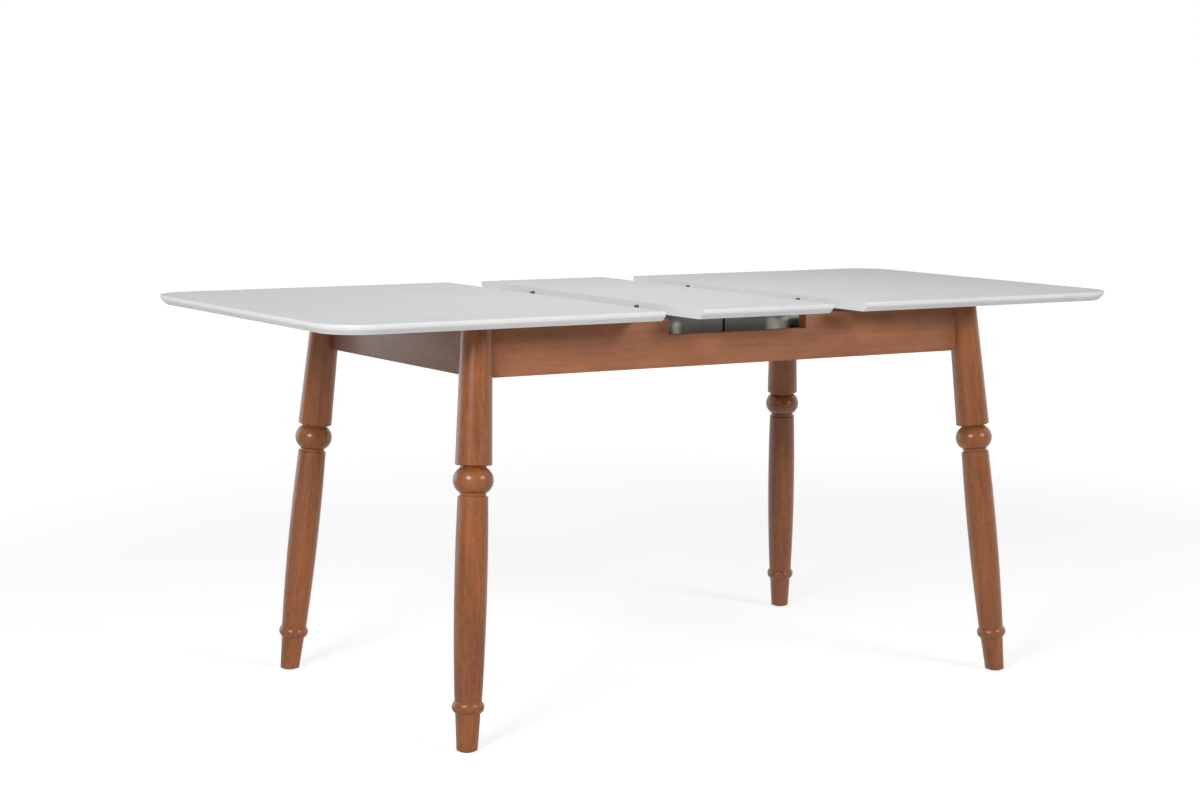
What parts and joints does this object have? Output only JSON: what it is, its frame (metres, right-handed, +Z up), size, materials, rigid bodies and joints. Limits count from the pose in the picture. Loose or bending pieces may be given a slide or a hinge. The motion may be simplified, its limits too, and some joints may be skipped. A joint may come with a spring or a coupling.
{
  "type": "extending dining table",
  "caption": "Rectangular extending dining table on splayed turned legs, with two sliding tops and one leaf that sinks into notches in the aprons.",
  "frame": {"origin": "on the floor, under the middle of the table", "axes": "+X along the table towards the right top, +Y to the rear, +Z up"},
  "size_m": [1.77, 0.805, 0.76],
  "materials": {
    "white_lacquer": "satin white lacquer on board",
    "apron_wood": "reddish-brown stained wood, satin",
    "leg_wood": "reddish-brown stained turned wood, satin",
    "plain_beech": "unfinished beech",
    "dark_steel": "dark steel",
    "black_plastic": "moulded black plastic",
    "black_rubber": "rubber",
    "glide_nylon": "moulded nylon",
    "socket_plastic": "moulded plastic",
    "fastener_steel": "zinc-plated steel",
    "lift_steel": "black powder-coated steel",
    "carrier_steel": "grey-green painted sheet steel",
    "rail_steel": "zinc-plated sheet steel"
  },
  "bodies": {
    "frame": {"foot_glides": "glide_nylon", "front_apron": "apron_wood", "front_left_corner_block": "plain_beech", "front_left_leg": "leg_wood", "front_left_rail": "rail_steel", "front_right_corner_block": "plain_beech", "front_right_leg": "leg_wood", "front_right_rail": "rail_steel", "inner_left_cross_rail": "plain_beech", "inner_right_cross_rail": "plain_beech", "left_end_apron": "apron_wood", "leg_bolts": "fastener_steel", "leg_nuts": "fastener_steel", "leg_washers": "fastener_steel", "outer_left_cross_rail": "plain_beech", "outer_right_cross_rail": "plain_beech", "rail_bumpers": "black_rubber", "rail_screws": "fastener_steel", "rear_apron": "apron_wood", "rear_left_corner_block": "plain_beech", "rear_left_leg": "leg_wood", "rear_left_rail": "rail_steel", "rear_right_corner_block": "plain_beech", "rear_right_leg": "leg_wood", "rear_right_rail": "rail_steel", "right_end_apron": "apron_wood", "shaft_bearings": "black_plastic", "top_pads": "glide_nylon"},
    "left_carriage": {"front_left_slide": "rail_steel", "rear_left_slide": "rail_steel"},
    "right_carriage": {"front_right_slide": "rail_steel", "rear_right_slide": "rail_steel"},
    "left_top": {"left_top_board": "white_lacquer", "left_top_sockets": "socket_plastic", "left_top_screws": "fastener_steel", "front_left_runner": "rail_steel", "rear_left_runner": "rail_steel", "front_left_bracket": "rail_steel", "rear_left_bracket": "rail_steel"},
    "right_top": {"right_top_board": "white_lacquer", "right_top_pins": "dark_steel", "right_top_screws": "fastener_steel", "front_right_runner": "rail_steel", "rear_right_runner": "rail_steel", "front_right_bracket": "rail_steel", "rear_right_bracket": "rail_steel"},
    "leaf": {"leaf_board": "white_lacquer", "leaf_pins": "dark_steel", "leaf_sockets": "socket_plastic", "front_leaf_carriers": "carrier_steel", "rear_leaf_carriers": "carrier_steel", "carrier_spacers": "black_plastic", "lift_lugs": "lift_steel", "lug_screws": "fastener_steel", "carrier_screws": "fastener_steel", "guide_shoes": "black_plastic"},
    "left_lift_rocker": {"left_rocker": "lift_steel", "left_rocker_pins": "lift_steel"},
    "right_lift_rocker": {"right_rocker": "lift_steel", "right_rocker_pins": "lift_steel"}
  },
  "joints": [
    {"name": "left_slide_run", "type": "slide", "parent": "frame", "child": "left_carriage", "axis": [1, 0, 0], "range_m": [0, 0.0797]},
    {"name": "left_top_slide", "type": "slide", "parent": "left_carriage", "child": "left_top", "axis": [1, 0, 0], "range_m": [0, 0.149]},
    {"name": "right_slide_run", "type": "slide", "parent": "frame", "child": "right_carriage", "axis": [-1, 0, 0], "range_m": [0, 0.0797]},
    {"name": "right_top_slide", "type": "slide", "parent": "right_carriage", "child": "right_top", "axis": [-1, 0, 0], "range_m": [0, 0.149]},
    {"name": "leaf_lift", "type": "slide", "parent": "frame", "child": "leaf", "axis": [0, 0, -1], "range_m": [0, 0.0343]},
    {"name": "left_rocker_turn", "type": "hinge", "parent": "frame", "child": "left_lift_rocker", "pos_m": [-0.18, 0, 0.708], "axis": [0, 1, 0], "range_deg": [0, 28.5]},
    {"name": "right_rocker_turn", "type": "hinge", "parent": "frame", "child": "right_lift_rocker", "pos_m": [0.18, 0, 0.708], "axis": [0, -1, 0], "range_deg": [0, 28.5]}
  ],
  "couplings": [
    {"joint": "right_top_slide", "follows": "left_top_slide", "ratio": 1},
    {"joint": "leaf_lift", "follows": "left_top_slide", "ratio": 0.23},
    {"joint": "left_rocker_turn", "follows": "left_top_slide", "rad_per_m": 3.3231},
    {"joint": "right_rocker_turn", "follows": "left_top_slide", "rad_per_m": 3.3231}
  ]
}
